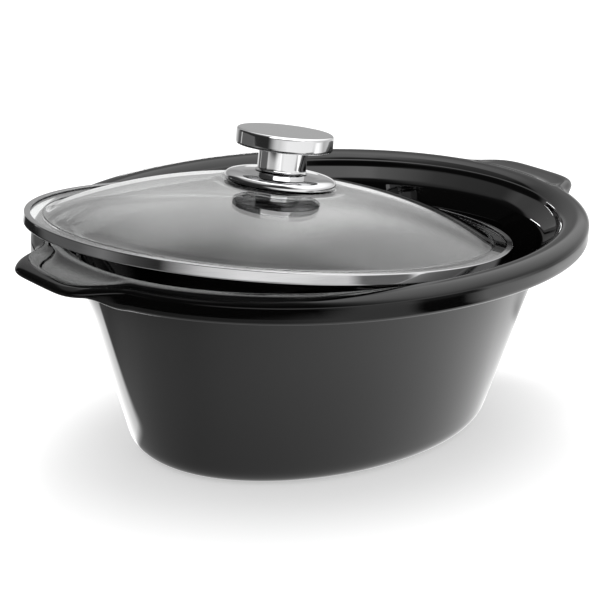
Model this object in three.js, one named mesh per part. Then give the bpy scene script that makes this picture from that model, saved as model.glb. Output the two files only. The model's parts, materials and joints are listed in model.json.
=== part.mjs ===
// The oval stoneware crock of a slow cooker, with its domed glass lid lying ajar on the rim.
// Millimetres, +Z up. X runs along the oval, Y across it, and the crock stands on z = 0.
import * as THREE from "three";

const { lerp, smoothstep, degToRad } = THREE.MathUtils;

// ---------- Crock: a tapered bowl under a rolled lip, with a flat ear at each long end ----------

const rimLength = 356; // across the outside of the lip, without the ears
const rimWidth = 298;
const ovalPower = 2.03; // exponent of the superellipse, 2 being a plain ellipse
const crockHeight = 135; // table to the crest of the lip

const lipHeight = 15.5; // crest to the flat underside
const lipOverhang = 24.5; // outside of the lip to the wall below it
const lipShoulder = 5.5; // drop from the crest to where the outer side turns upright
const lipRoll = 54; // degrees of a quarter round that the outer side has turned by there
const lipCorner = 3; // rounding under the outer side
const crestInset = 8; // outside of the lip to its crest

const crownWidth = 10.4; // crest to the seat's upper edge, rolling inwards and down
const crownDrop = 5.3;
const crownKnee = 0.6; // part of the crown's width that stays nearly level
const stepWidth = 1.2; // the short slope that guides the lid into its seat
const stepDrop = 2.8;
const seatWidth = 9; // the ledge that the lid's band rests on
const seatDrop = 7.5;
const mouthRound = 2.2; // edge between the seat and the inside of the bowl

const wallLean = 33.7; // how far the wall comes in from under the lip to the table, at the ends
const sideLean = 4.4; // how much further it comes in at the long sides
const wallThickness = 8;
const floorThickness = 9;
const heelRound = 12; // outside corner between wall and base
const floorRound = 22; // inside corner between wall and floor
const underLipRound = 3;

const earReach = 19.5; // beyond the end of the lip
const earWidth = 85;
const earPower = 5.4; // how square the ear's corners are
const earBlend = 25.5; // the hollow curve from ear into lip
const earThickness = 6.5;
const earSag = 1.2; // ear's top edge below the crest
const earDish = 1.2; // hollow of its top face
const earShoulder = 4.8; // drop of its rolled edge, which is as wide as the lip's
const earHeel = 1.6; // rounding of its lower edge
const earRootShare = 0.35; // part of the way out at which its underside levels off
const earSpread = 15.6; // reach beyond the plain lip at which the section is all ear

// ---------- Lid: domed glass in a steel band, with a knob screwed through it ----------

const lidPlay = 1.9; // lid's edge to the upper edge of the seat, all round
const glassThickness = 4;
const glassArris = 0.8; // ground corners of its edge
const domeRise = 25.3; // above the glass's flat edge
const domePower = 2.26; // how flat the dome starts out from the middle
const glassEdgeWidth = 10; // flat edge of the glass, in the band
const bandSheet = 0.8;
const bandReach = 3.5; // the band's lips over and under the glass
const bandRound = 0.6;

const knobBaseRadius = 33;
const knobBaseHeight = 6.5;
const knobBaseEdge = 1.4; // upright part of its rim
const knobBaseRound = 9.5; // how far in its rounded shoulder reaches
const knobBaseFall = 1.4; // drop of its upper face from stem to shoulder
const stemRadius = 14.4;
const stemHeight = 13.6;
const stemFlare = 1.5; // small hollow curve at its foot
const capRadius = 28.7;
const capThickness = 9.6;
const capRound = 1.6;
const spigotRadius = 8.6; // end of the stem that is set into the cap
const spigotHeight = 3.3;
const screwRadius = 2.5;
const screwGrip = 12; // length of screw inside the stem
const headRadius = 5;
const headHeight = 3;
const washerRadius = 9;
const washerThickness = 1.2;
const gasketRadius = 11;
const gasketThickness = 1.5;
const sleeveWall = 1.2; // of the lower gasket's collar in the glass's hole

const gap = 0.3; // between any two pieces that touch
const restGap = 0.5; // the lid above the crock, which keeps the facets of both apart
const boreClearance = 0.4; // round the screw

// The lid lies ajar: pushed along the crock towards -X and turned a little on it.
const lidShift = new THREE.Vector2(-36, -4.5);
const lidTurn = degToRad(4.5);

const crockSegments = 96;
const lidSegments = 72;
const turnedSegments = 36;

// ---------- Forms ----------

// Distance from the middle to the edge of an oval that lies a given inset inside the lip.
function ovalRadius(inset, angle, sideInset = inset) {
  const x = Math.abs(Math.cos(angle)) / (rimLength / 2 - inset);
  const y = Math.abs(Math.sin(angle)) / (rimWidth / 2 - sideInset);
  return (x ** ovalPower + y ** ovalPower) ** (-1 / ovalPower);
}

// The same distance to the end and sides of the ears, a squarer oval across the whole crock.
function earRadius(angle) {
  const x = Math.abs(Math.cos(angle)) / (rimLength / 2 + earReach);
  const y = Math.abs(Math.sin(angle)) / (earWidth / 2);
  return (x ** earPower + y ** earPower) ** (-1 / earPower);
}

// Outside of the lip with its ears, the two outlines blended by a hollow curve.
function rimOutline(angle) {
  const lip = ovalRadius(0, angle);
  const ear = earRadius(angle);
  const overlap = Math.max(earBlend - Math.abs(lip - ear), 0);
  return Math.max(lip, ear) + overlap ** 2 / (4 * earBlend);
}

// 0 on the plain lip, 1 on the ear.
function earShare(angle) {
  return smoothstep(rimOutline(angle) - ovalRadius(0, angle), 0, earSpread);
}

function polar(radius, angle, z) {
  return new THREE.Vector3(radius * Math.cos(angle), radius * Math.sin(angle), z);
}

// Angles round the crock, closer together at its ears.
function crockAngles() {
  const crowding = 0.7;
  return Array.from({ length: crockSegments }, (_, i) => {
    const even = (2 * Math.PI * i) / crockSegments;
    return even - (crowding * Math.sin(2 * even)) / 2;
  });
}

function evenAngles(count) {
  return Array.from({ length: count }, (_, i) => (2 * Math.PI * i) / count);
}

// A skin over rings of equal count, each anticlockwise seen from above. They run up the outside and
// down the inside; the ends are closed by flat caps, or joined to each other.
function loft(rings, joined = false) {
  const count = rings[0].length;
  const points = rings.flat();
  const triangles = [];
  const last = joined ? rings.length : rings.length - 1;
  for (let r = 0; r < last; r++) {
    const lower = r * count;
    const upper = ((r + 1) % rings.length) * count;
    for (let i = 0; i < count; i++) {
      const j = (i + 1) % count;
      triangles.push(lower + i, lower + j, upper + j, lower + i, upper + j, upper + i);
    }
  }
  if (!joined) {
    for (const [ring, first] of [[rings[0], true], [rings.at(-1), false]]) {
      const start = first ? 0 : (rings.length - 1) * count;
      const middle = points.length;
      points.push(new THREE.Vector3(0, 0, ring[0].z));
      for (let i = 0; i < count; i++) {
        const j = (i + 1) % count;
        triangles.push(middle, start + (first ? j : i), start + (first ? i : j));
      }
    }
  }
  const geometry = new THREE.BufferGeometry().setFromPoints(points);
  geometry.setIndex(triangles);
  geometry.computeVertexNormals();
  return geometry;
}

// ---------- Crock ----------

const lipUnderside = crockHeight - lipHeight;

// Inset of the wall's outer face at a height, along its straight lean.
function wallInset(z) {
  return lipOverhang + (wallLean * (lipUnderside - z)) / lipUnderside;
}

// An oval ring of the bowl: under the lip its long sides lean in a little more than its ends.
function bowlRing(inset, z) {
  const more = sideLean * Math.max(1 - z / lipUnderside, 0);
  return crockAngles().map((angle) => polar(ovalRadius(inset, angle, inset + more), angle, z));
}

// Outside of the bowl from the middle of its base up to the lip, as (inset, z).
function bowlOutside() {
  return new THREE.Path()
    .moveTo(wallInset(0) + heelRound, 0)
    .quadraticCurveTo(wallInset(0), 0, wallInset(heelRound), heelRound)
    .lineTo(wallInset(lipUnderside - underLipRound), lipUnderside - underLipRound)
    .getPoints(4);
}

// From the crest over the crown and the lid's seat, and down the inside of the bowl, as (inset, z).
function bowlInside() {
  const crownEdge = new THREE.Vector2(crestInset + crownWidth, crockHeight - crownDrop);
  const seatOuter = new THREE.Vector2(crownEdge.x + stepWidth, crownEdge.y - stepDrop);
  const seatInner = new THREE.Vector2(seatOuter.x + seatWidth, seatOuter.y - seatDrop);
  const inner = (z) => new THREE.Vector2(wallInset(z) + wallThickness, z);
  const mouthStart = seatInner.clone().lerp(seatOuter, mouthRound / seatWidth);
  const mouthEnd = inner(seatInner.y - mouthRound);
  const wallFoot = inner(floorThickness + floorRound);
  const corner = inner(floorThickness);
  return new THREE.Path()
    .moveTo(crestInset, crockHeight)
    .quadraticCurveTo(crestInset + crownWidth * crownKnee, crockHeight, crownEdge.x, crownEdge.y)
    .lineTo(seatOuter.x, seatOuter.y)
    .lineTo(mouthStart.x, mouthStart.y)
    .quadraticCurveTo(seatInner.x, seatInner.y, mouthEnd.x, mouthEnd.y)
    .lineTo(wallFoot.x, wallFoot.y)
    .quadraticCurveTo(corner.x, corner.y, corner.x + floorRound, corner.y)
    .getPoints(4);
}

// The lip's and the ear's cross-sections from under the lip, out round the edge and in to the crest.
// Each station is a share of the way out to the outline and a height, for the lip and for the ear.
function rimStations() {
  const earTop = crockHeight - earSag;
  const earUnder = earTop - earThickness;
  const overhangAtEar = lipOverhang + earReach;
  const topAtEar = crestInset + earReach;
  const quarter = Math.PI / 2;
  const steps = 3;
  const under = [];
  for (const part of [1 / 3, 2 / 3, 1, 5 / 3]) {
    const share = part * earRootShare;
    const rise = smoothstep(share, 0, earRootShare);
    under.push({
      lip: { share, z: lipUnderside },
      ear: { share, z: lerp(lipUnderside, earUnder, rise) },
    });
  }
  for (let i = 0; i <= steps; i++) {
    const turn = quarter * (i / steps);
    const back = 1 - Math.sin(turn);
    const lift = 1 - Math.cos(turn);
    under.push({
      lip: { share: 1 - (lipCorner * back) / lipOverhang, z: lipUnderside + lipCorner * lift },
      ear: { share: 1 - (earHeel * back) / overhangAtEar, z: earUnder + earHeel * lift },
    });
  }
  const onLip = (turn) => ({
    share: Math.cos(turn),
    z: crockHeight - lipShoulder * (1 - Math.sin(turn)),
  });
  const rollEnd = degToRad(lipRoll);
  const over = [];
  for (let i = 0; i <= steps; i++) {
    const turn = quarter * (i / steps);
    over.push({
      lip: onLip(rollEnd * (i / steps)),
      ear: {
        share: 1 - (crestInset * (1 - Math.cos(turn))) / topAtEar,
        z: earTop - earShoulder * (1 - Math.sin(turn)),
      },
    });
  }
  const topSteps = 4;
  for (let i = 1; i < topSteps; i++) {
    const way = i / topSteps;
    const dish = earDish * Math.sin(Math.PI * way);
    over.push({
      lip: onLip(lerp(rollEnd, quarter, way)),
      ear: {
        share: (1 - crestInset / topAtEar) * (1 - way),
        z: lerp(earTop, crockHeight, way) - dish,
      },
    });
  }
  return { under, over };
}

function crockGeometry() {
  const angles = crockAngles();
  const rimRing = (rootInset) => (station) =>
    angles.map((a) => {
      const ear = earShare(a);
      const root = ovalRadius(rootInset, a);
      const share = lerp(station.lip.share, station.ear.share, ear);
      return polar(
        lerp(root, rimOutline(a), share),
        a,
        lerp(station.lip.z, station.ear.z, ear),
      );
    });
  const { under, over } = rimStations();
  return loft([
    ...bowlOutside().map(({ x, y }) => bowlRing(x, y)),
    ...under.map(rimRing(lipOverhang)),
    ...over.map(rimRing(crestInset)),
    ...bowlInside().map(({ x, y }) => bowlRing(x, y)),
  ]);
}

// ---------- Lid, from the underside of its band at z = 0 ----------

const lidInset = crestInset + crownWidth + stepWidth + lidPlay;
const bandHeight = 2 * (bandSheet + gap) + glassThickness;
const glassUnderside = bandSheet + gap;
const glassEdgeTop = glassUnderside + glassThickness;
const padTop = glassEdgeTop + domeRise; // flat pad under the knob
const padUnderside = padTop - glassThickness;
const padRadius = knobBaseRadius + 1;
const screwHole = screwRadius + boreClearance;
const glassHole = screwHole + sleeveWall + gap;
const glassInset = lidInset + bandSheet + gap;
const domeInset = glassInset + glassEdgeWidth;

function glassGeometry() {
  const angles = evenAngles(lidSegments);
  const steps = 7;
  const circle = (radius, z) => angles.map((a) => polar(radius, a, z));
  const oval = (inset, z) => angles.map((a) => polar(ovalRadius(inset, a), a, z));
  // The dome falls as a power of the radius, from the round pad under the knob to the oval edge.
  const dome = (way, drop) =>
    angles.map((a) => {
      const edge = ovalRadius(domeInset, a);
      const radius = lerp(padRadius, edge, way);
      const start = (padRadius / edge) ** domePower;
      const fall = ((radius / edge) ** domePower - start) / (1 - start);
      return polar(radius, a, padTop - domeRise * fall - drop);
    });
  const ways = Array.from({ length: steps + 1 }, (_, i) => i / steps);
  return loft(
    [
      circle(glassHole, padUnderside),
      ...ways.map((way) => dome(way, glassThickness)),
      oval(glassInset + glassArris, glassUnderside),
      oval(glassInset, glassUnderside + glassArris),
      oval(glassInset, glassEdgeTop - glassArris),
      oval(glassInset + glassArris, glassEdgeTop),
      ...ways.toReversed().map((way) => dome(way, 0)),
      circle(glassHole, padTop),
    ],
    true,
  );
}

// A folded channel that holds the glass's edge.
function bandGeometry() {
  const angles = evenAngles(lidSegments);
  const section = new THREE.Path()
    .moveTo(bandReach, 0)
    .lineTo(bandRound, 0)
    .quadraticCurveTo(0, 0, 0, bandRound)
    .lineTo(0, bandHeight - bandRound)
    .quadraticCurveTo(0, bandHeight, bandRound, bandHeight)
    .lineTo(bandReach, bandHeight)
    .lineTo(bandReach, bandHeight - bandSheet)
    .lineTo(bandSheet, bandHeight - bandSheet)
    .lineTo(bandSheet, bandSheet)
    .lineTo(bandReach, bandSheet)
    .getPoints(2);
  const ring = ({ x: inset, y: z }) => angles.map((a) => polar(ovalRadius(lidInset + inset, a), a, z));
  return loft(section.map(ring), true);
}

// A turned piece from its half section, as (radius, height) up the outside, on the lid's axis.
function turned(section) {
  return new THREE.LatheGeometry(section, turnedSegments).rotateX(Math.PI / 2);
}

const gasketUnderside = padTop + gap;
const knobBaseUnderside = padTop + gap;
const recessTop = gasketUnderside + gasketThickness + gap;
const recessRadius = gasketRadius + gap;
const stemUnderside = knobBaseUnderside + knobBaseHeight + gap;
const capUnderside = stemUnderside + stemHeight + gap;

// A shallow dish upside down on the glass, with the upper gasket in its hollow.
function knobBaseGeometry() {
  const top = knobBaseUnderside + knobBaseHeight;
  const shoulder = top - knobBaseFall;
  return turned(
    new THREE.Path()
      .moveTo(screwHole, recessTop)
      .lineTo(recessRadius, recessTop)
      .lineTo(recessRadius, knobBaseUnderside)
      .lineTo(knobBaseRadius, knobBaseUnderside)
      .lineTo(knobBaseRadius, knobBaseUnderside + knobBaseEdge)
      .quadraticCurveTo(knobBaseRadius, shoulder, knobBaseRadius - knobBaseRound, shoulder)
      .lineTo(stemRadius, top)
      .lineTo(screwHole, top)
      .closePath()
      .getPoints(4),
  );
}

// A short post with a blind hole for the screw below and a spigot into the cap above.
function stemGeometry() {
  const top = stemUnderside + stemHeight;
  const boreTop = stemUnderside + screwGrip + gap;
  return turned(
    new THREE.Path()
      .moveTo(0, boreTop)
      .lineTo(screwHole, boreTop)
      .lineTo(screwHole, stemUnderside)
      .lineTo(stemRadius + stemFlare, stemUnderside)
      .quadraticCurveTo(stemRadius, stemUnderside, stemRadius, stemUnderside + stemFlare)
      .lineTo(stemRadius, top)
      .lineTo(spigotRadius, top)
      .lineTo(spigotRadius, top + spigotHeight)
      .lineTo(0, top + spigotHeight)
      .getPoints(4),
  );
}

// A thick disc with a socket for the stem's spigot.
function capGeometry() {
  const socketTop = stemUnderside + stemHeight + spigotHeight + gap;
  const top = capUnderside + capThickness;
  return turned(
    new THREE.Path()
      .moveTo(0, socketTop)
      .lineTo(spigotRadius + gap, socketTop)
      .lineTo(spigotRadius + gap, capUnderside)
      .lineTo(capRadius - capRound, capUnderside)
      .quadraticCurveTo(capRadius, capUnderside, capRadius, capUnderside + capRound)
      .lineTo(capRadius, top - capRound)
      .quadraticCurveTo(capRadius, top, capRadius - capRound, top)
      .lineTo(0, top)
      .getPoints(4),
  );
}

function upperGasketGeometry() {
  return turned(
    new THREE.Path()
      .moveTo(screwHole, gasketUnderside)
      .lineTo(gasketRadius, gasketUnderside)
      .lineTo(gasketRadius, gasketUnderside + gasketThickness)
      .lineTo(screwHole, gasketUnderside + gasketThickness)
      .closePath()
      .getPoints(),
  );
}

const lowerGasketTop = padUnderside - gap;
const washerTop = lowerGasketTop - gasketThickness - gap;
const headTop = washerTop - washerThickness - gap;

// A flat ring with a collar that lines the hole in the glass.
function lowerGasketGeometry() {
  const collarTop = padTop - gap;
  return turned(
    new THREE.Path()
      .moveTo(screwHole, lowerGasketTop - gasketThickness)
      .lineTo(gasketRadius, lowerGasketTop - gasketThickness)
      .lineTo(gasketRadius, lowerGasketTop)
      .lineTo(screwHole + sleeveWall, lowerGasketTop)
      .lineTo(screwHole + sleeveWall, collarTop)
      .lineTo(screwHole, collarTop)
      .closePath()
      .getPoints(),
  );
}

function washerGeometry() {
  return turned(
    new THREE.Path()
      .moveTo(screwHole, washerTop - washerThickness)
      .lineTo(washerRadius, washerTop - washerThickness)
      .lineTo(washerRadius, washerTop)
      .lineTo(screwHole, washerTop)
      .closePath()
      .getPoints(),
  );
}

// A round-headed screw, up through the lid into the stem.
function screwGeometry() {
  return turned(
    new THREE.Path()
      .moveTo(0, headTop - headHeight)
      .quadraticCurveTo(headRadius, headTop - headHeight, headRadius, headTop)
      .lineTo(screwRadius, headTop)
      .lineTo(screwRadius, stemUnderside + screwGrip)
      .lineTo(0, stemUnderside + screwGrip)
      .getPoints(4),
  );
}

// ---------- How the lid rests ----------

const firstTilt = degToRad(2); // step of the search for the lid's tilt
const lastTilt = degToRad(0.01);
const rimSection = bowlInside();

// Height of the crock's top face over a point of the table, and -Infinity past the bowl's mouth.
function rimHeight(x, y) {
  const angle = Math.atan2(y, x);
  const radius = Math.hypot(x, y);
  if (radius > ovalRadius(crestInset, angle)) return crockHeight;
  for (let i = 1; i < rimSection.length; i++) {
    const [outer, inner] = [rimSection[i - 1], rimSection[i]];
    const outerRadius = ovalRadius(outer.x, angle);
    const innerRadius = ovalRadius(inner.x, angle);
    if (radius >= innerRadius) {
      return lerp(inner.y, outer.y, (radius - innerRadius) / (outerRadius - innerRadius));
    }
  }
  return -Infinity;
}

// Height at which the lid touches the crock with its band's underside or side, tilted about X and Y.
function touchHeight(tiltX, tiltY) {
  const underside = [[bandReach, 0], [bandRound, 0]];
  const side = [bandRound, bandHeight / 4, bandHeight / 2].map((z) => [0, z]);
  const turn = new THREE.Euler(tiltX, tiltY, lidTurn, "XYZ");
  let height = -Infinity;
  for (const angle of evenAngles(4 * lidSegments)) {
    for (const [inset, z] of [...underside, ...side]) {
      const point = polar(ovalRadius(lidInset + inset, angle), angle, z).applyEuler(turn);
      const under = rimHeight(point.x + lidShift.x, point.y + lidShift.y);
      height = Math.max(height, under - point.z);
    }
  }
  return height;
}

// The lid comes to rest where its middle can sink no lower.
function restingPose() {
  let tilt = [0, 0];
  let height = touchHeight(...tilt);
  for (let step = firstTilt; step > lastTilt; ) {
    const tries = [[step, 0], [-step, 0], [0, step], [0, -step]].map(([dx, dy]) => {
      const next = [tilt[0] + dx, tilt[1] + dy];
      return { next, height: touchHeight(...next) };
    });
    const best = tries.reduce((a, b) => (b.height < a.height ? b : a));
    if (best.height < height - 1e-6) {
      tilt = best.next;
      height = best.height;
    } else {
      step /= 2;
    }
  }
  return { tilt, height: height + restGap };
}

// ---------- Pieces ----------

const glaze = { color: 0x0b0b0c, roughness: 0.12, metalness: 0 };
const glass = { color: 0xdfe6e6, roughness: 0.03, metalness: 0, transparent: true, opacity: 0.35 };
const steel = { color: 0xc9cacc, roughness: 0.25, metalness: 1 };
const chrome = { color: 0xdcdddf, roughness: 0.08, metalness: 1 };
const silicone = { color: 0x8f9192, roughness: 0.8, metalness: 0 };

function piece(name, geometry, finish) {
  const mesh = new THREE.Mesh(geometry, new THREE.MeshStandardMaterial(finish));
  mesh.name = name;
  return mesh;
}

const lid = new THREE.Group();
lid.add(
  piece("lid_glass", glassGeometry(), glass),
  piece("lid_rim_band", bandGeometry(), steel),
  piece("knob_base", knobBaseGeometry(), chrome),
  piece("knob_stem", stemGeometry(), chrome),
  piece("knob_cap", capGeometry(), chrome),
  piece("knob_gasket_upper", upperGasketGeometry(), silicone),
  piece("knob_gasket_lower", lowerGasketGeometry(), silicone),
  piece("knob_washer", washerGeometry(), steel),
  piece("knob_screw", screwGeometry(), steel),
);
const rest = restingPose();
lid.position.set(lidShift.x, lidShift.y, rest.height);
lid.rotation.set(...rest.tilt, lidTurn, "XYZ");

const slowCooker = new THREE.Group();
slowCooker.add(piece("crock", crockGeometry(), glaze), lid);

export default slowCooker;
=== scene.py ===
import json
import math

import bpy
import numpy as np
from mathutils import Matrix, Vector

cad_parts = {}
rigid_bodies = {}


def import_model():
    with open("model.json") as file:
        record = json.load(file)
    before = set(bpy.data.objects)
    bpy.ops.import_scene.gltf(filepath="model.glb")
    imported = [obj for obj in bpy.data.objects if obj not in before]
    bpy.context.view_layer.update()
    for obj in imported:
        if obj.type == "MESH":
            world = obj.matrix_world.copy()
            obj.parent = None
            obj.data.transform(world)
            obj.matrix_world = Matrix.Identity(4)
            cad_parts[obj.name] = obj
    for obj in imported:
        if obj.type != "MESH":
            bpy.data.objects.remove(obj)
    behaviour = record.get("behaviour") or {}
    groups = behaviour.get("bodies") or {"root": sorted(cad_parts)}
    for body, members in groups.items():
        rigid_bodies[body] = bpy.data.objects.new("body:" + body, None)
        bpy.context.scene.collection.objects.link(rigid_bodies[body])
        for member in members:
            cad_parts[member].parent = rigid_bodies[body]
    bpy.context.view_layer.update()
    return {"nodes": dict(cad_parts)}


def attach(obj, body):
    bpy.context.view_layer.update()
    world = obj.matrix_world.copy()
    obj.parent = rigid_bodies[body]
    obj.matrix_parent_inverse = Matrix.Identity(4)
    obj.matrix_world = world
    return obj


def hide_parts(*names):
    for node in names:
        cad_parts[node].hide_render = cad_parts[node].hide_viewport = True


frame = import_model()

# ---------------------------------------------------------------------------
# Camera: a long lens a little above the rim, off the crock's front left quarter,
# and held slightly out of level.
# ---------------------------------------------------------------------------

azimuth, elevation, lean = (math.radians(angle) for angle in (-40.29, 19.27, 1.6))
eye_distance = 1.1806
middle = Vector((0, 0, 0.0751))
aim_left, aim_up = 0.00849, 0.00415

back = Vector((
    math.sin(azimuth) * math.cos(elevation),
    -math.cos(azimuth) * math.cos(elevation),
    math.sin(elevation),
))
level = Vector((0, 0, 1)).cross(back).normalized()
across = math.cos(lean) * level + math.sin(lean) * back.cross(level)
eye = middle + eye_distance * back
aim = middle - aim_left * across + aim_up * back.cross(across)
back = (eye - aim).normalized()
across = (across - across.dot(back) * back).normalized()

lens = bpy.data.cameras.new("camera")
lens.lens = 115.43
lens.sensor_width = 36
camera = bpy.data.objects.new("camera", lens)
camera.matrix_world = Matrix((across, back.cross(across), back)).transposed().to_4x4()
camera.matrix_world.translation = eye
bpy.context.collection.objects.link(camera)
bpy.context.scene.camera = camera
bpy.context.scene.view_settings.view_transform = "Standard"

# ---------------------------------------------------------------------------
# Studio: a white table in a white room, under a broad overhead lamp. Gloss sees a shaded
# sky and table in their place, and soft panels are each hung for one or two pieces alone.
# ---------------------------------------------------------------------------


class Wire:
    """A socket of a finish. Arithmetic on it adds the Math nodes of the expression."""

    def __init__(self, finish, socket):
        self.finish = finish
        self.socket = socket

    def math(self, operation, *values):
        """The Math node of an operation on values, which are sockets or numbers."""
        slots = dict(zip(("Value", "Value_001", "Value_002"), values))
        return self.finish.node("Math", settings={"operation": operation}, **slots)

    def __add__(self, other):
        return self.math("ADD", self, other)

    def __sub__(self, other):
        return self.math("SUBTRACT", self, other)

    def __rsub__(self, other):
        return self.math("SUBTRACT", other, self)

    def __mul__(self, other):
        return self.math("MULTIPLY", self, other)

    def __truediv__(self, other):
        return self.math("DIVIDE", self, other)

    def __abs__(self):
        return self.math("ABSOLUTE", self)

    __radd__, __rmul__ = __add__, __mul__

    def rise(self, low, high):
        """0 up to low and 1 from high, with a smooth step between."""
        return self.finish.node(
            "MapRange", settings={"interpolation_type": "SMOOTHSTEP"},
            Value=self, From_Min=low, From_Max=high,
        )

    def fall(self, low, high):
        """1 up to low and 0 from high, with a smooth step between."""
        return self.rise(high, low)


class Finish:
    """The look of a material, a world or a lamp, put together from nodes."""

    def __init__(self, data, ending="Material"):
        self.data = data
        self.data.use_nodes = True
        self.tree = self.data.node_tree
        self.tree.nodes.clear()
        self.ending = self.tree.nodes.new("ShaderNodeOutput" + ending)

    @staticmethod
    def find(sockets, name):
        """A socket by its identifier, or by its name with _ for a space."""
        for socket in sockets:
            if socket.identifier == name:
                return socket
        return sockets[name.replace("_", " ")]

    def node(self, kind, output=None, settings=None, **sockets):
        """Adds a node: its settings first, then the value or link of each socket named."""
        node = self.tree.nodes.new("ShaderNode" + kind)
        for name, value in (settings or {}).items():
            if name == "stops":
                stops = node.color_ramp.elements
                for at, shade in value:
                    stop = {0: stops[0], 1: stops[-1]}.get(at) or stops.new(at)
                    stop.color = (shade, shade, shade, 1)
            else:
                setattr(node, name, value)
        for name, value in sockets.items():
            slot = self.find(node.inputs, name)
            if isinstance(value, Wire):
                self.tree.links.new(value.socket, slot)
            else:
                slot.default_value = value
        return Wire(self, self.find(node.outputs, output) if output else node.outputs[0])

    def surface(self, shader):
        """Ends the finish in a shader and gives the material, world or lamp back."""
        self.tree.links.new(shader.socket, self.ending.inputs["Surface"])
        return self.data


white = (1, 1, 1, 1)
in_degrees = 180 / math.pi
front_side = Vector((back.x, back.y, 0)).normalized()
right_side = Vector((across.x, across.y, 0)).normalized()


def compass(finish, direction):
    """How far a direction points to the front and to the right, and its bearing in degrees: the
    angle whose tangent is right over front, from 0 in front by 90 on the right to 180 behind."""
    toward, right = (
        finish.node(
            "VectorMath", "Value", {"operation": "DOT_PRODUCT"}, Vector=direction, Vector_001=side,
        )
        for side in (front_side, right_side)
    )
    return toward, right, right.math("ARCTAN2", right, toward) * in_degrees


def in_gloss(finish):
    """1 in what a glossy surface shows, straight or through glass, and 0 in all else."""
    bounces = finish.node("LightPath", "Glossy Depth")
    return bounces.math("MINIMUM", bounces, 1)


# The sky that gloss sees: a shade for each height, from the horizon (0) to overhead (1), in
# parts of the brightest. Its four sides turn into each other over these bearings, and the
# right side also ends where the bearing less the slope passes a limit. A low light stands in
# front. What has come through glass finds the upper sky almost dark, and matt surfaces are
# lit by a room a quarter darker than the white that is seen.
brightest = 2.5
sky_behind = [
    (0, 0.18), (0.045, 0.17), (0.09, 0.13), (0.2, 0.16), (0.33, 0.18), (0.39, 0.22), (0.5, 0.42),
    (0.61, 0.6), (0.72, 0.85), (1, 0.9),
]
sky_on_right = [
    (0, 0.28), (0.1, 0.3), (0.25, 0.46), (0.33, 0.52), (0.5, 0.62), (0.75, 0.8), (1, 0.9),
]
sky_in_front = [
    (0, 0.01), (0.4, 0.012), (0.55, 0.03), (0.7, 0.04), (0.8, 0.06), (0.86, 0.36), (0.93, 0.9),
    (1, 0.95),
]
sky_on_left = [
    (0, 0.01), (0.1, 0.01), (0.33, 0.02), (0.42, 0.03), (0.5, 0.14), (0.67, 0.2), (0.78, 0.28),
    (0.9, 0.6), (1, 0.9),
]
rear_to_left, left_to_front = (-140, -130), (-45, -10)
front_to_right, right_to_rear, right_limit = (20, 65), (168, 178), (145, 158)
low_light, low_light_bearing, low_light_spread, low_light_height = 0.7, 20, (35, 60), (1, 6)
glass_shade, glass_shade_slope = 0.95, (38, 50)
room_shade = 0.25

studio = Finish(bpy.data.worlds.new("studio"), "World")
direction = studio.node("TexCoord", "Generated")
bearing = compass(studio, direction)[2]
height = studio.node("SeparateXYZ", "Z", Vector=direction)
slope = height.math("ARCSINE", height) * in_degrees
behind, on_right, in_front, on_left = (
    studio.node("ValToRGB", "Color", {"stops": stops}, Fac=slope / 90)
    for stops in (sky_behind, sky_on_right, sky_in_front, sky_on_left)
)
right_share = (
    bearing.rise(*front_to_right) * bearing.fall(*right_to_rear)
    * (bearing - slope).fall(*right_limit)
)
left_share = bearing.fall(*left_to_front) * bearing.rise(*rear_to_left)
front_share = bearing.rise(*left_to_front) * bearing.fall(*front_to_right)
rear_share = 1 - right_share - left_share - front_share
low_share = (
    abs(bearing - low_light_bearing).fall(*low_light_spread) * slope.fall(*low_light_height)
)
reflected = brightest * (
    rear_share * behind + right_share * on_right + left_share * on_left + front_share * in_front
) + low_light * low_share
under_glass = studio.node("LightPath", "Is Transmission Ray") * slope.rise(*glass_shade_slope)
plain = 1 - room_shade * studio.node("LightPath", "Is Diffuse Ray")
glossy = in_gloss(studio)
strength = glossy * reflected * (1 - glass_shade * under_glass) + (1 - glossy) * plain
bpy.context.scene.world = studio.data
studio.surface(studio.node("Background", Color=white, Strength=strength))

lamp = bpy.data.lights.new("overhead", "AREA")
lamp.shape = "DISK"
lamp.size = 1.6
lamp.energy = 12
overhead = bpy.data.objects.new("overhead", lamp)
overhead.location = (0.1, 0.1, 1.4)
overhead.visible_glossy = False
overhead.visible_transmission = False
bpy.context.collection.objects.link(overhead)


def panel(name, bearing, reach, height, width, tall, strength, fade=(0.1, 0.1)):
    """A panel of light that stands on a bearing and faces the crock. It fades smoothly to nothing
    over a share of its width and height, and lights only what is linked to the result."""
    lamp = bpy.data.lights.new(name, "AREA")
    lamp.shape = "RECTANGLE"
    lamp.size, lamp.size_y = width, tall
    lamp.energy = strength * math.pi * width * tall
    cloth = Finish(lamp, "Light")
    place = cloth.node("NewGeometry", "Parametric")
    shares = []
    for axis, edge in zip("XY", fade):
        way = cloth.node("SeparateXYZ", axis, Vector=place)
        shares.append(way.rise(0, edge) * way.fall(1 - edge, 1))
    cloth.surface(cloth.node("Emission", Color=white, Strength=shares[0] * shares[1]))
    screen = bpy.data.objects.new(name, lamp)
    bearing = math.radians(bearing)
    away = front_side * math.cos(bearing) + right_side * math.sin(bearing)
    screen.matrix_world = away.to_track_quat("Z", "Y").to_matrix().to_4x4()
    screen.location = reach * away + Vector((0, 0, height))
    screen.visible_camera = False
    screen.light_linking.receiver_collection = bpy.data.collections.new(name)
    bpy.context.collection.objects.link(screen)
    return screen.light_linking.receiver_collection.objects


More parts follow.
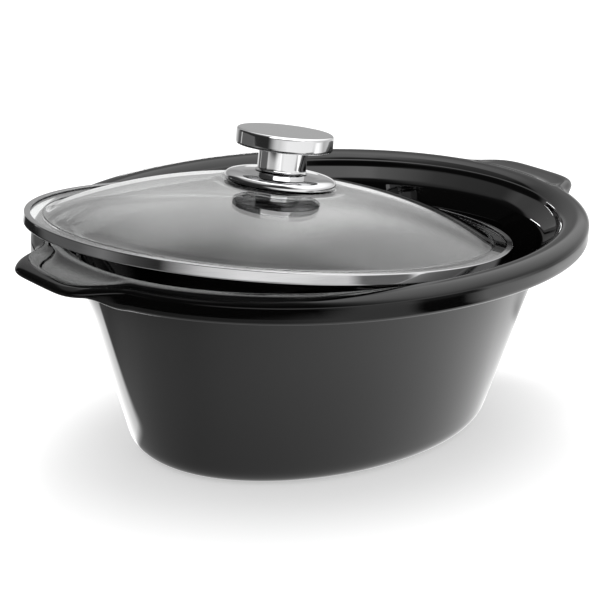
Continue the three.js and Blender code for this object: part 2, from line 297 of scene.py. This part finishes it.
glass_screen = panel(
    "glass screen", bearing=-178.5, reach=2, height=1.3, width=1.8, tall=2.7, strength=1.05,
    fade=(0.36, 0.45),
)
rim_strip = panel(
    "rim strip", bearing=-168, reach=0.47, height=0.197, width=0.16, tall=0.014, strength=16,
)
stem_card = panel(
    "stem card", bearing=-38, reach=0.3, height=0.13, width=0.4, tall=0.1, strength=0.5,
)
knob_card = panel(
    "knob card", bearing=5, reach=0.32, height=0.41, width=0.6, tall=0.3, strength=2.6,
)
floor_light = panel(
    "floor light", bearing=-175, reach=0.8, height=1.6, width=0.8, tall=0.8, strength=10,
)

# The table that gloss sees glows with painted light and shade: a shade for each bearing, from
# behind (0) by the left, the front (0.5) and the right to behind again (1), in four rings that
# turn into each other over these reaches, in metres. A painted shadow of the crock's foot and
# lip darkens the near ring, and painted open light brightens the table past the edge of the
# painted shadow of the crock on the left and on the right behind.
near_and_next, next_and_far, far_and_outer = (0.22, 0.3), (0.49, 0.52), (0.8, 1)
near_ring = [
    (0, 0.4), (0.2, 0.1), (0.25, 0.1), (0.283, 0.18), (0.31, 0.22), (0.4, 0.25), (0.44, 0.32),
    (0.5, 0.4), (0.61, 0.53), (0.72, 0.64), (0.79, 0.7), (0.84, 0.55), (1, 0.4),
]
next_ring = [
    (0, 0.4), (0.18, 0.2), (0.22, 0.08), (0.4, 0.09), (0.5, 0.14), (0.56, 0.28), (0.62, 0.28),
    (0.635, 0.01), (0.675, 0.01), (0.7, 0.7), (0.8, 0.75), (0.86, 0.4), (1, 0.4),
]
far_ring = [
    (0, 0.4), (0.105, 0.35), (0.12, 0.01), (0.22, 0), (0.54, 0.005), (0.58, 0.3), (0.625, 0.33),
    (0.64, 0.07), (0.69, 0.07), (0.705, 0.55), (0.72, 0.6), (0.78, 0.2), (1, 0.4),
]
outer_ring = [
    (0, 0.4), (0.1, 0.2), (0.14, 0.04), (0.165, 0.04), (0.172, 0.35), (0.18, 0.05), (0.28, 0.05),
    (0.325, 0.09), (0.37, 0.03), (0.415, 0.01), (0.47, 0.3), (0.52, 0.42), (0.68, 0.4), (0.8, 0.2),
    (0.92, 0.3), (1, 0.4),
]
foot_shade, foot_reach = 0.2, (0.1, 0.2)
lip_shade, lip_shade_reach = 0.6, (0.222, 0.25)
lip_shade_start, lip_shade_stop = (112, 124), (128, 140)
open_light, shadow_slant, shadow_edge = 0.9, 0.9, (0.166, 0.182)
open_left, open_right = (-70, -62), (140, 180)
table_white = (0.8, 0.8, 0.8, 1)
table_glow, table_glow_in_view = 0.24, 0.2
floor_half, floor_drop = 6, 0.0003

floor_mesh = bpy.data.meshes.new("floor")
floor_mesh.from_pydata(
    [
        (x * floor_half, y * floor_half, -floor_drop)
        for x, y in ((-1, -1), (1, -1), (1, 1), (-1, 1))
    ],
    [], [(0, 1, 2, 3)],
)
floor = bpy.data.objects.new("floor", floor_mesh)
bpy.context.collection.objects.link(floor)
floor_light.link(floor)

table = Finish(bpy.data.materials.new("table"))
toward, right, bearing = compass(table, table.node("TexCoord", "Object"))
squared = toward * toward + right * right
reach = squared.math("SQRT", squared)
near_table, next_table, far_table, outer_table = (
    table.node("ValToRGB", "Color", {"stops": stops}, Fac=bearing / 360 + 0.5)
    for stops in (near_ring, next_ring, far_ring, outer_ring)
)
past_near, past_next, past_far = (
    reach.rise(*reaches) for reaches in (near_and_next, next_and_far, far_and_outer)
)
# Painted shadows of the lip and the foot on the near ring, and painted open light past the painted
# shadow's edge
painted_lip_shadow = (
    reach.rise(*lip_shade_reach) * bearing.rise(*lip_shade_start) * bearing.fall(*lip_shade_stop)
)
painted_shadow = (1 - foot_shade * reach.fall(*foot_reach)) * (1 - lip_shade * painted_lip_shadow)
painted_open_light = (
    (toward - shadow_slant * right).fall(*shadow_edge)
    * (bearing.fall(*open_left) + bearing.rise(*open_right)) * (1 - past_near)
)
mirrored = brightest * (
    (1 - past_near) * near_table * painted_shadow + past_near * (1 - past_next) * next_table
    + past_next * (1 - past_far) * far_table + past_far * outer_table + open_light * painted_open_light
)
in_view = table.node("LightPath", "Is Camera Ray")
lit = table.node(
    "AddShader",
    Shader=table.node("BsdfDiffuse", Color=table_white),
    Shader_001=table.node(
        "Emission", Color=white, Strength=table_glow + table_glow_in_view * in_view
    ),
)
mirror = table.node("Emission", Color=white, Strength=mirrored)
floor_mesh.materials.append(
    table.surface(table.node("MixShader", Fac=in_gloss(table), Shader=lit, Shader_001=mirror))
)

# ---------------------------------------------------------------------------
# Crock: slip-cast stoneware, glazed a deep gloss black all over but for the dry ring it
# was fired on. A tapered oval bowl runs up into a broad rolled lip, with a flat ear at each
# long end and a stepped seat for the lid inside.
# ---------------------------------------------------------------------------

# Sizes are in millimetres from here on.
MM = 0.001
rim_length, rim_width = 356, 298
oval_power = 2.03
crock_height = 135
lip_height, lip_overhang, lip_corner = 15.5, 24.5, 3
lip_shoulder, lip_sweep, crest_inset = 5.5, math.radians(54), 8
crown_width, crown_drop, crown_knee = 10.4, 5.3, 0.6
step_width, step_drop = 1.2, 2.8
seat_width, seat_drop = 9, 7.5
edge_round, mouth_round = 0.7, 2.2
wall_lean, side_lean, wall_thickness = 33.7, 4.4, 8
floor_thickness, heel_round, floor_round = 9, 12, 22
under_lip_round, under_lip_start = 3, 0.12
ear_reach, ear_width, ear_power, ear_blend = 19.5, 85, 5.4, 25.5
ear_thickness, ear_sag, ear_dish, ear_shoulder, ear_heel = 6.5, 1.2, 1.2, 4.8, 1.6
ear_root_share, ear_spread = 0.35, 15.6
pole_inset = 120
crock_points, end_crowding = 680, 0.3
dry_ring = 0.8
glaze_roughness, pooling_roughness, clay_roughness = 0.01, 0.02, 0.6

lip_underside = crock_height - lip_height


def superellipse(x_reach, y_reach, power, angle):
    """Radius at an angle of the curve on which the powers of x over its reach and of y over its
    reach add up to 1."""
    return (
        np.abs(np.cos(angle) / x_reach) ** power + np.abs(np.sin(angle) / y_reach) ** power
    ) ** (-1 / power)


def oval(inset, angle, side_inset=None):
    """Radius of the lip's oval, drawn in by an inset at its ends and at its sides."""
    side_inset = inset if side_inset is None else side_inset
    return superellipse(rim_length / 2 - inset, rim_width / 2 - side_inset, oval_power, angle)


def rim_outline(angle):
    """The greater of the lip's and the ears' radius, plus a hollow curve where they meet: the
    square of how far their difference falls short of the blend, over four times the blend."""
    lip = oval(0, angle)
    ear = superellipse(rim_length / 2 + ear_reach, ear_width / 2, ear_power, angle)
    overlap = np.maximum(ear_blend - np.abs(lip - ear), 0)
    return np.maximum(lip, ear) + overlap**2 / (4 * ear_blend)


def smooth_step(way):
    """Three times the square of the way less twice its cube, the way being kept from 0 to 1."""
    way = np.clip(way, 0, 1)
    return way * way * (3 - 2 * way)


def polar(radius, angle, z):
    """Points at radius times the cosine and sine of the angle, at a height."""
    radius, angle, z = np.broadcast_arrays(radius, angle, z)
    return np.stack([radius * np.cos(angle), radius * np.sin(angle), z], -1)


def run(start, end, steps=5):
    """A straight line's points, closer together at its ends: half a wave of the cosine."""
    way = (1 - np.cos(np.linspace(0, np.pi, steps, endpoint=False)))[:, None] / 2
    return np.asarray(start) + (np.asarray(end) - start) * way


def bend(start, corner, end, steps=8):
    """A quadratic curve's points: (1 - t) squared start + 2 t (1 - t) corner + t squared end."""
    t = np.linspace(0, 1, steps, endpoint=False)[:, None]
    return (1 - t) ** 2 * start + 2 * t * (1 - t) * np.asarray(corner) + t**2 * end


def beside(corner, other, distance):
    """The point at a distance from a corner towards another one."""
    corner, other = np.asarray(corner, float), np.asarray(other, float)
    return corner + (other - corner) * distance / np.linalg.norm(other - corner)


def chain(corners, rounds):
    """A section through corners: straight runs, joined at each corner by a quadratic bend that
    starts and ends at its round's distance from it."""
    parts = []
    start = np.asarray(corners[0], float)
    for before, corner, after, cut in zip(corners, corners[1:], corners[2:], rounds):
        stop = beside(corner, before, cut)
        parts.append(run(start, stop))
        start = beside(corner, after, cut)
        parts.append(bend(stop, corner, start))
    parts.append(run(start, corners[-1]))
    return np.concatenate(parts)


def skin(name, rings, body, node, finish, joined=False):
    """A piece over rings of points in millimetres, each anticlockwise from above, which go up the
    outside and down the inside. The last joins the first, or a pole closes each end."""
    rows, count = rings.shape[:2]
    points = rings.reshape(-1, 3)
    ring = np.arange(rows if joined else rows - 1)[:, None] * count
    above = (ring + count) % (rows * count)
    this = np.arange(count)
    following = (this + 1) % count
    faces = np.stack([ring + this, ring + following, above + following, above + this], -1)
    faces = faces.reshape(-1, 4).tolist()
    if not joined:
        first, last = len(points), len(points) + 1
        points = np.concatenate([points, rings[:1].mean(1), rings[-1:].mean(1)])
        top = (rows - 1) * count
        faces += np.stack([np.full(count, first), following, this], -1).tolist()
        faces += np.stack([np.full(count, last), top + this, top + following], -1).tolist()
    mesh = bpy.data.meshes.new(name)
    mesh.from_pydata((points * MM).tolist(), [], faces)
    mesh.shade_smooth()
    mesh.materials.append(finish)
    piece = bpy.data.objects.new(name, mesh)
    bpy.context.collection.objects.link(piece)
    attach(piece, body)
    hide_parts(node)
    return piece


def wall_inset(z):
    """Inset of the wall's outer face at a height: the overhang, plus the lean in proportion to
    the depth below the lip."""
    return lip_overhang + wall_lean * (lip_underside - z) / lip_underside


def bowl_rings(section):
    """An oval ring for each (inset, z), its sides drawn in a little more the lower it lies."""
    inset, z = section[:, :1], section[:, 1:]
    more = side_lean * np.maximum(1 - z / lip_underside, 0)
    return polar(oval(inset, crock_angles, inset + more), crock_angles, z)


def rim_rings(root_inset, lip_share, lip_z, ear_way, ear_z):
    """Rings at a share of the way from an inner oval to the outline, and at a height, both of
    which go from the lip's to the ears' by the smooth step of how far the outline stands out."""
    ear = smooth_step((rim_outline(crock_angles) - oval(0, crock_angles)) / ear_spread)
    share, z = (
        (1 - ear) * on_lip[:, None] + ear * on_ear[:, None]
        for on_lip, on_ear in ((lip_share, ear_way), (lip_z, ear_z))
    )
    root = oval(root_inset, crock_angles)
    return polar(root + (rim_outline(crock_angles) - root) * share, crock_angles, z)


even_angles = np.linspace(0, 2 * np.pi, crock_points, endpoint=False)
crock_angles = even_angles - end_crowding * np.sin(2 * even_angles)

heel_top = (wall_inset(heel_round), heel_round)
wall_top_z = lip_underside - under_lip_round
wall_top = (wall_inset(wall_top_z), wall_top_z)
outside = np.concatenate([
    run((pole_inset, 0), (wall_inset(0) + heel_round, 0), steps=4),
    bend((wall_inset(0) + heel_round, 0), (wall_inset(0), 0), heel_top),
    run(heel_top, wall_top, steps=6),
    bend(
        wall_top,
        (lip_overhang, lip_underside),
        (lip_overhang * (1 - under_lip_start), lip_underside),
    ),
])

# The underside of the lip, which rises to the ears' underside near its root
ear_top = crock_height - ear_sag
ear_under = ear_top - ear_thickness
outward = np.linspace(under_lip_start, 1 - lip_corner / lip_overhang, 10, endpoint=False)
under = rim_rings(
    lip_overhang,
    outward,
    np.full_like(outward, lip_underside),
    outward,
    lip_underside + (ear_under - lip_underside) * smooth_step(outward / ear_root_share),
)

# The lower edge, a quarter of a circle
quarter = np.linspace(0, np.pi / 2, 7)
back_off, lift = 1 - np.sin(quarter), 1 - np.cos(quarter)
lower_edge = rim_rings(
    lip_overhang,
    1 - lip_corner * back_off / lip_overhang,
    lip_underside + lip_corner * lift,
    1 - ear_heel * back_off / (lip_overhang + ear_reach),
    ear_under + ear_heel * lift,
)

# The upright outer face between the rounded edges
lip_from, lip_to = lip_underside + lip_corner, crock_height - lip_shoulder
ear_from, ear_to = ear_under + ear_heel, ear_top - ear_shoulder
upright = np.linspace(0.2, 0.8, 3)
outer_face = rim_rings(
    crest_inset,
    np.ones_like(upright),
    lip_from + (lip_to - lip_from) * upright,
    np.ones_like(upright),
    ear_from + (ear_to - ear_from) * upright,
)

# The shoulder, rolled in by the lip's sweep and, on an ear, by a quarter of a circle
ear_top_width = crest_inset + ear_reach
rolled = np.linspace(0, 1, 11)
lip_angle, ear_angle = rolled * lip_sweep, rolled * np.pi / 2
shoulder = rim_rings(
    crest_inset,
    np.cos(lip_angle),
    crock_height - lip_shoulder * (1 - np.sin(lip_angle)),
    1 - crest_inset * (1 - np.cos(ear_angle)) / ear_top_width,
    ear_top - ear_shoulder * (1 - np.sin(ear_angle)),
)

# The rest of the roll up to the crest, and the ear's top, which a half sine wave dishes
inward = np.linspace(0, 1, 14)[1:-1]
lip_angle = lip_sweep + (np.pi / 2 - lip_sweep) * inward
crown = rim_rings(
    crest_inset,
    np.cos(lip_angle),
    crock_height - lip_shoulder * (1 - np.sin(lip_angle)),
    (1 - crest_inset / ear_top_width) * (1 - inward),
    ear_top + (crock_height - ear_top) * inward - ear_dish * np.sin(np.pi * inward),
)

# The inside: from the crest down to a step, the lid's seat, the wall and the floor
crest = (crest_inset, crock_height)
knee = (crest_inset + crown_width * crown_knee, crock_height)
crown_edge = (crest_inset + crown_width, crock_height - crown_drop)
crown_end = beside(crown_edge, knee, edge_round)
seat_outer = (crown_edge[0] + step_width, crown_edge[1] - step_drop)
seat_inner = (seat_outer[0] + seat_width, seat_outer[1] - seat_drop)
wall_foot_z = floor_thickness + floor_round
wall_foot = (wall_inset(wall_foot_z) + wall_thickness, wall_foot_z)
floor_corner = (wall_inset(floor_thickness) + wall_thickness, floor_thickness)
floor_start = (floor_corner[0] + floor_round, floor_thickness)
inside = np.concatenate([
    bend(crest, knee, crown_end, steps=14),
    chain(
        [crown_end, crown_edge, seat_outer, seat_inner, wall_foot],
        [edge_round, edge_round, mouth_round],
    ),
    bend(wall_foot, floor_corner, floor_start, steps=9),
    run(floor_start, (pole_inset, floor_thickness), steps=4),
])

glaze = Finish(bpy.data.materials.new("black_glaze"))
spot = glaze.node("TexCoord", "Object")
pooling = glaze.node("TexNoise", "Fac", Vector=spot, Scale=9.0, Detail=3.0, Roughness=0.55)
ripple = glaze.node("TexNoise", "Fac", Vector=spot, Scale=38.0, Detail=2.0, Roughness=0.4)
speck = glaze.node("TexNoise", "Fac", Vector=spot, Scale=900.0, Detail=1.0)
dry = glaze.node("SeparateXYZ", "Z", Vector=spot).fall(0.4 * dry_ring * MM, dry_ring * MM)
black = glaze.node(
    "Mix", "Result_Color", {"data_type": "RGBA"},
    Factor_Float=pooling, A_Color=(0.0006, 0.0006, 0.0007, 1), B_Color=(0.0022, 0.0021, 0.0020, 1),
)
clay = glaze.node(
    "Mix", "Result_Color", {"data_type": "RGBA"},
    Factor_Float=speck, A_Color=(0.055, 0.050, 0.045, 1), B_Color=(0.11, 0.10, 0.09, 1),
)
colour = glaze.node(
    "Mix", "Result_Color", {"data_type": "RGBA"}, Factor_Float=dry, A_Color=black, B_Color=clay,
)
waves = glaze.node("Bump", "Normal", Height=ripple, Strength=0.35, Distance=0.00012)
glaze_data = glaze.surface(glaze.node(
    "BsdfPrincipled",
    Base_Color=colour,
    Roughness=glaze_roughness + pooling_roughness * pooling + clay_roughness * dry,
    IOR=1.5, Normal=waves,
))

crock_body = skin(
    "crock_body",
    np.concatenate([
        bowl_rings(outside), under, lower_edge, outer_face, shoulder, crown, bowl_rings(inside),
    ]),
    "crock", "crock", glaze_data,
)
rim_strip.link(crock_body)

# ---------------------------------------------------------------------------
# Lid glass: tempered soda-lime glass sagged into an oval dome, with a flat round pad for
# the knob and a flat ground edge that its steel band grips.
# ---------------------------------------------------------------------------

lid_place = np.array([-36, -4.5, 130.148])
lid_tilt_x, lid_tilt_y, lid_turn = (math.radians(angle) for angle in (-1.625, 7.8125, 4.5))
lid_play = 1.9
band_sheet, band_reach, gap = 0.8, 3.5, 0.3
glass_thickness, glass_arris, glass_edge_width = 4, 0.8, 10
dome_rise, dome_power = 25.3, 2.26
edge_ease, edge_ease_share = 0.35, 0.03
pad_ease, pad_ease_share = 0.25, 0.04
knob_base_radius, pad_margin = 33, 1
screw_radius, bore_clearance, sleeve_wall = 2.5, 0.4, 1.2
lid_points, dome_steps = 360, 64
smear_roughness, smear_edge = 0.03, (0.62, 0.9)

lid_inset = crest_inset + crown_width + step_width + lid_play
glass_inset = lid_inset + band_sheet + gap
dome_inset = glass_inset + glass_edge_width
glass_underside = band_sheet + gap
glass_edge_top = glass_underside + glass_thickness
pad_top = glass_edge_top + dome_rise
pad_radius = knob_base_radius + pad_margin
screw_hole = screw_radius + bore_clearance
glass_hole = screw_hole + sleeve_wall + gap

lid_pose = np.array(
    Matrix.Rotation(lid_tilt_x, 3, "X")
    @ Matrix.Rotation(lid_tilt_y, 3, "Y")
    @ Matrix.Rotation(lid_turn, 3, "Z")
)
lid_angles = np.linspace(0, 2 * np.pi, lid_points, endpoint=False)


def on_lid(points):
    """Points of the lid's own frame, turned and tilted to how it rests on the rim."""
    return points @ lid_pose.T + lid_place


def dome_rings(ways, drop):
    """The dome from its pad (0) to its edge (1), let down by a drop: it falls as a power of the
    radius, and a bell curve lowers it next to the pad and another lifts it next to the edge."""
    ways = ways[:, None]
    edge = oval(dome_inset, lid_angles)
    radius = pad_radius + (edge - pad_radius) * ways
    start = (pad_radius / edge) ** dome_power
    fall = ((radius / edge) ** dome_power - start) / (1 - start)
    at_edge = edge_ease * np.exp(-(((1 - ways) / edge_ease_share) ** 2))
    at_pad = pad_ease * np.exp(-((ways / pad_ease_share) ** 2))
    return polar(radius, lid_angles, pad_top - dome_rise * fall - drop + at_edge - at_pad)


def oval_rings(section):
    """An oval ring on the lid for each (inset, z)."""
    inset, z = section[:, :1], section[:, 1:]
    return polar(oval(inset, lid_angles), lid_angles, z)


def disc_rings(section, angles):
    """A round ring on the lid's axis for each (radius, z)."""
    radius, z = section[:, :1], section[:, 1:]
    return polar(radius, angles, z)


ways = (1 - np.cos(np.linspace(0, np.pi, dome_steps))) / 2
arris_inset = glass_inset + glass_arris
lower_arris = (glass_inset, glass_underside + glass_arris)
upper_arris = (glass_inset, glass_edge_top - glass_arris)
edge_section = np.concatenate([
    run((dome_inset, glass_underside), (arris_inset, glass_underside), steps=10)[1:],
    bend((arris_inset, glass_underside), (glass_inset, glass_underside), lower_arris),
    run(lower_arris, upper_arris, steps=6),
    bend(upper_arris, (glass_inset, glass_edge_top), (arris_inset, glass_edge_top)),
    run((arris_inset, glass_edge_top), (dome_inset, glass_edge_top), steps=10),
])
pad_section = run((glass_hole, pad_top), (pad_radius, pad_top), steps=8)[::-1]
under_pad_section = pad_section[::-1] - (0, glass_thickness)

clear = Finish(bpy.data.materials.new("clear_glass"))
spot = clear.node("TexCoord", "Object")
smear = clear.node("TexNoise", "Fac", Vector=spot, Scale=14.0, Detail=4.0, Roughness=0.6)
sag = clear.node("TexNoise", "Fac", Vector=spot, Scale=11.0, Detail=1.0)
flow = clear.node("Bump", "Normal", Height=sag, Strength=0.3, Distance=0.0004)
glass_data = clear.surface(clear.node(
    "BsdfPrincipled",
    Base_Color=(0.97, 0.98, 0.975, 1), Roughness=smear.rise(*smear_edge) * smear_roughness,
    IOR=1.5, Transmission_Weight=1.0, Normal=flow,
))

lid_dome = skin(
    "lid_dome",
    on_lid(np.concatenate([
        disc_rings(under_pad_section, lid_angles),
        dome_rings(ways, glass_thickness),
        oval_rings(edge_section),
        dome_rings(ways[::-1], 0),
        disc_rings(pad_section, lid_angles),
    ])),
    "lid", "lid_glass", glass_data, joined=True,
)
glass_screen.link(lid_dome)

# ---------------------------------------------------------------------------
# Lid band: a strip of bright stainless steel with a faint grain along it, roll-formed into
# a channel round the glass's edge and butted at the back.
# ---------------------------------------------------------------------------

band_fold, band_mouth, band_crease = 0.6, 0.25, 0.1
steel_roughness, streak_roughness = 0.05, 0.05
band_height = 2 * (band_sheet + gap) + glass_thickness

band_section = chain(
    [
        (band_reach, 0), (0, 0), (0, band_height), (band_reach, band_height),
        (band_reach, band_height - band_sheet), (band_sheet, band_height - band_sheet),
        (band_sheet, band_sheet), (band_reach, band_sheet), (band_reach, 0),
    ],
    [band_fold, band_fold, band_mouth, band_mouth, band_crease, band_crease, band_mouth],
) + (lid_inset, 0)

steel = Finish(bpy.data.materials.new("satin_steel"))
spot = steel.node("TexCoord", "Object")
grain = steel.node("Mapping", "Vector", Vector=spot, Scale=(60.0, 60.0, 900.0))
streak = steel.node("TexNoise", "Fac", Vector=grain, Scale=1.0, Detail=3.0, Roughness=0.6)
tone = steel.node(
    "Mix", "Result_Color", {"data_type": "RGBA"},
    Factor_Float=streak, A_Color=(0.60, 0.60, 0.61, 1), B_Color=(0.70, 0.70, 0.70, 1),
)
steel_data = steel.surface(steel.node(
    "BsdfPrincipled",
    Base_Color=tone, Metallic=1.0, Roughness=steel_roughness + streak_roughness * streak,
))

skin(
    "lid_band", on_lid(oval_rings(band_section)),
    "lid", "lid_rim_band", steel_data, joined=True,
)

# ---------------------------------------------------------------------------
# Knob base: a shallow pressed dish in polished chrome plate, upside down on the glass's
# pad, with the upper gasket in its hollow.
# ---------------------------------------------------------------------------

knob_base_height, knob_base_edge, knob_base_lip = 6.5, 1.4, 0.4
knob_base_round, knob_base_fall, knob_base_shoulder = 9.5, 1.4, 0.35
stem_radius, stem_height, stem_flare = 14.4, 13.6, 1.5
gasket_radius, gasket_thickness = 11, 1.5
fine_round = 0.2
turned_points = 192
chrome_roughness, haze_roughness, wipe_roughness = 0.02, 0.03, 0.02

knob_base_underside = pad_top + gap
knob_base_top = knob_base_underside + knob_base_height
recess_top = knob_base_underside + gasket_thickness + gap
recess_radius = gasket_radius + gap
edge_top = (knob_base_radius, knob_base_underside + knob_base_edge)
shoulder_corner = (knob_base_radius, knob_base_top - knob_base_fall)
shoulder_end = (knob_base_radius - knob_base_round, shoulder_corner[1] + knob_base_shoulder)
turned_angles = np.linspace(0, 2 * np.pi, turned_points, endpoint=False)


def turned(section):
    """A lathe-turned piece's rings on the lid's axis, from (radius, z)."""
    return on_lid(disc_rings(section, turned_angles))


base_section = np.concatenate([
    chain(
        [
            (screw_hole, recess_top), (recess_radius, recess_top),
            (recess_radius, knob_base_underside), (knob_base_radius, knob_base_underside), edge_top,
        ],
        [fine_round, fine_round, knob_base_lip],
    ),
    bend(edge_top, shoulder_corner, shoulder_end, steps=24),
    chain(
        [
            shoulder_end, (stem_radius, knob_base_top), (screw_hole, knob_base_top),
            (screw_hole, recess_top),
        ],
        [knob_base_lip, fine_round],
    ),
])

chrome = Finish(bpy.data.materials.new("polished_chrome"))
spot = chrome.node("TexCoord", "Object")
haze = chrome.node("TexNoise", "Fac", Vector=spot, Scale=60.0, Detail=4.0, Roughness=0.6)
wipe = chrome.node("TexNoise", "Fac", Vector=spot, Scale=420.0, Detail=2.0)
plate = chrome.node(
    "Mix", "Result_Color", {"data_type": "RGBA"},
    Factor_Float=haze, A_Color=(0.77, 0.77, 0.78, 1), B_Color=(0.83, 0.83, 0.83, 1),
)
chrome_data = chrome.surface(chrome.node(
    "BsdfPrincipled",
    Base_Color=plate, Metallic=1.0,
    Roughness=chrome_roughness + haze_roughness * haze + wipe_roughness * wipe,
))

skin("knob_dish", turned(base_section), "lid", "knob_base", chrome_data, joined=True)

# ---------------------------------------------------------------------------
# Knob stem: a solid turned post in the same chrome plate. The screw comes up into it and
# its spigot is set into the cap.
# ---------------------------------------------------------------------------

screw_grip = 12
stem_foot, stem_foot_round, stem_waist, stem_edge = 0.5, 0.15, 1.0, 0.25
spigot_radius, spigot_height, spigot_edge = 8.6, 3.3, 0.3
near_axis = 0.01

stem_underside = knob_base_top + gap
stem_top = stem_underside + stem_height
spigot_top = stem_top + spigot_height
bore_top = stem_underside + screw_grip + gap

stem_section = chain(
    [
        (near_axis, bore_top), (screw_hole, bore_top), (screw_hole, stem_underside),
        (stem_radius + stem_flare, stem_underside), (stem_radius, stem_underside + stem_foot),
        (stem_radius, stem_top), (spigot_radius, stem_top), (spigot_radius, spigot_top),
        (near_axis, spigot_top),
    ],
    [fine_round, fine_round, stem_foot_round, stem_waist, stem_edge, fine_round, spigot_edge],
)

knob_post = skin("knob_post", turned(stem_section), "lid", "knob_stem", chrome_data)
stem_card.link(knob_post)
knob_card.link(knob_post)

# ---------------------------------------------------------------------------
# Knob cap: a thick flat disc, turned with softened edges and chrome plated, which a hand
# lifts the lid by.
# ---------------------------------------------------------------------------

cap_radius, cap_thickness, cap_round = 28.7, 9.6, 1.6

cap_underside = stem_top + gap
cap_top = cap_underside + cap_thickness
socket_radius, socket_top = spigot_radius + gap, spigot_top + gap

cap_section = chain(
    [
        (near_axis, socket_top), (socket_radius, socket_top), (socket_radius, cap_underside),
        (cap_radius, cap_underside), (cap_radius, cap_top), (near_axis, cap_top),
    ],
    [fine_round, fine_round, cap_round, cap_round],
)

knob_disc = skin("knob_disc", turned(cap_section), "lid", "knob_cap", chrome_data)
knob_card.link(knob_disc)

# ---------------------------------------------------------------------------
# Gaskets: two moulded rings of grey silicone above and below the glass; the lower one has a
# collar that keeps the screw off the hole's edge.
# ---------------------------------------------------------------------------

rubber_roughness, bloom_roughness = 0.5, 0.2

rubber = Finish(bpy.data.materials.new("grey_silicone"))
spot = rubber.node("TexCoord", "Object")
bloom = rubber.node("TexNoise", "Fac", Vector=spot, Scale=260.0, Detail=3.0)
tone = rubber.node(
    "Mix", "Result_Color", {"data_type": "RGBA"},
    Factor_Float=bloom, A_Color=(0.25, 0.25, 0.26, 1), B_Color=(0.32, 0.32, 0.33, 1),
)
rubber_data = rubber.surface(rubber.node(
    "BsdfPrincipled", Base_Color=tone, Roughness=rubber_roughness + bloom_roughness * bloom,
))


def finish_node(node, finish):
    """Gives a CAD node that stays as it is its material."""
    mesh = frame["nodes"][node].data
    mesh.materials.clear()
    mesh.materials.append(finish)


finish_node("knob_gasket_upper", rubber_data)
finish_node("knob_gasket_lower", rubber_data)

# ---------------------------------------------------------------------------
# Washer and screw: plain stainless fixings under the glass, which pull the knob and both
# gaskets tight.
# ---------------------------------------------------------------------------

finish_node("knob_washer", steel_data)
finish_node("knob_screw", steel_data)
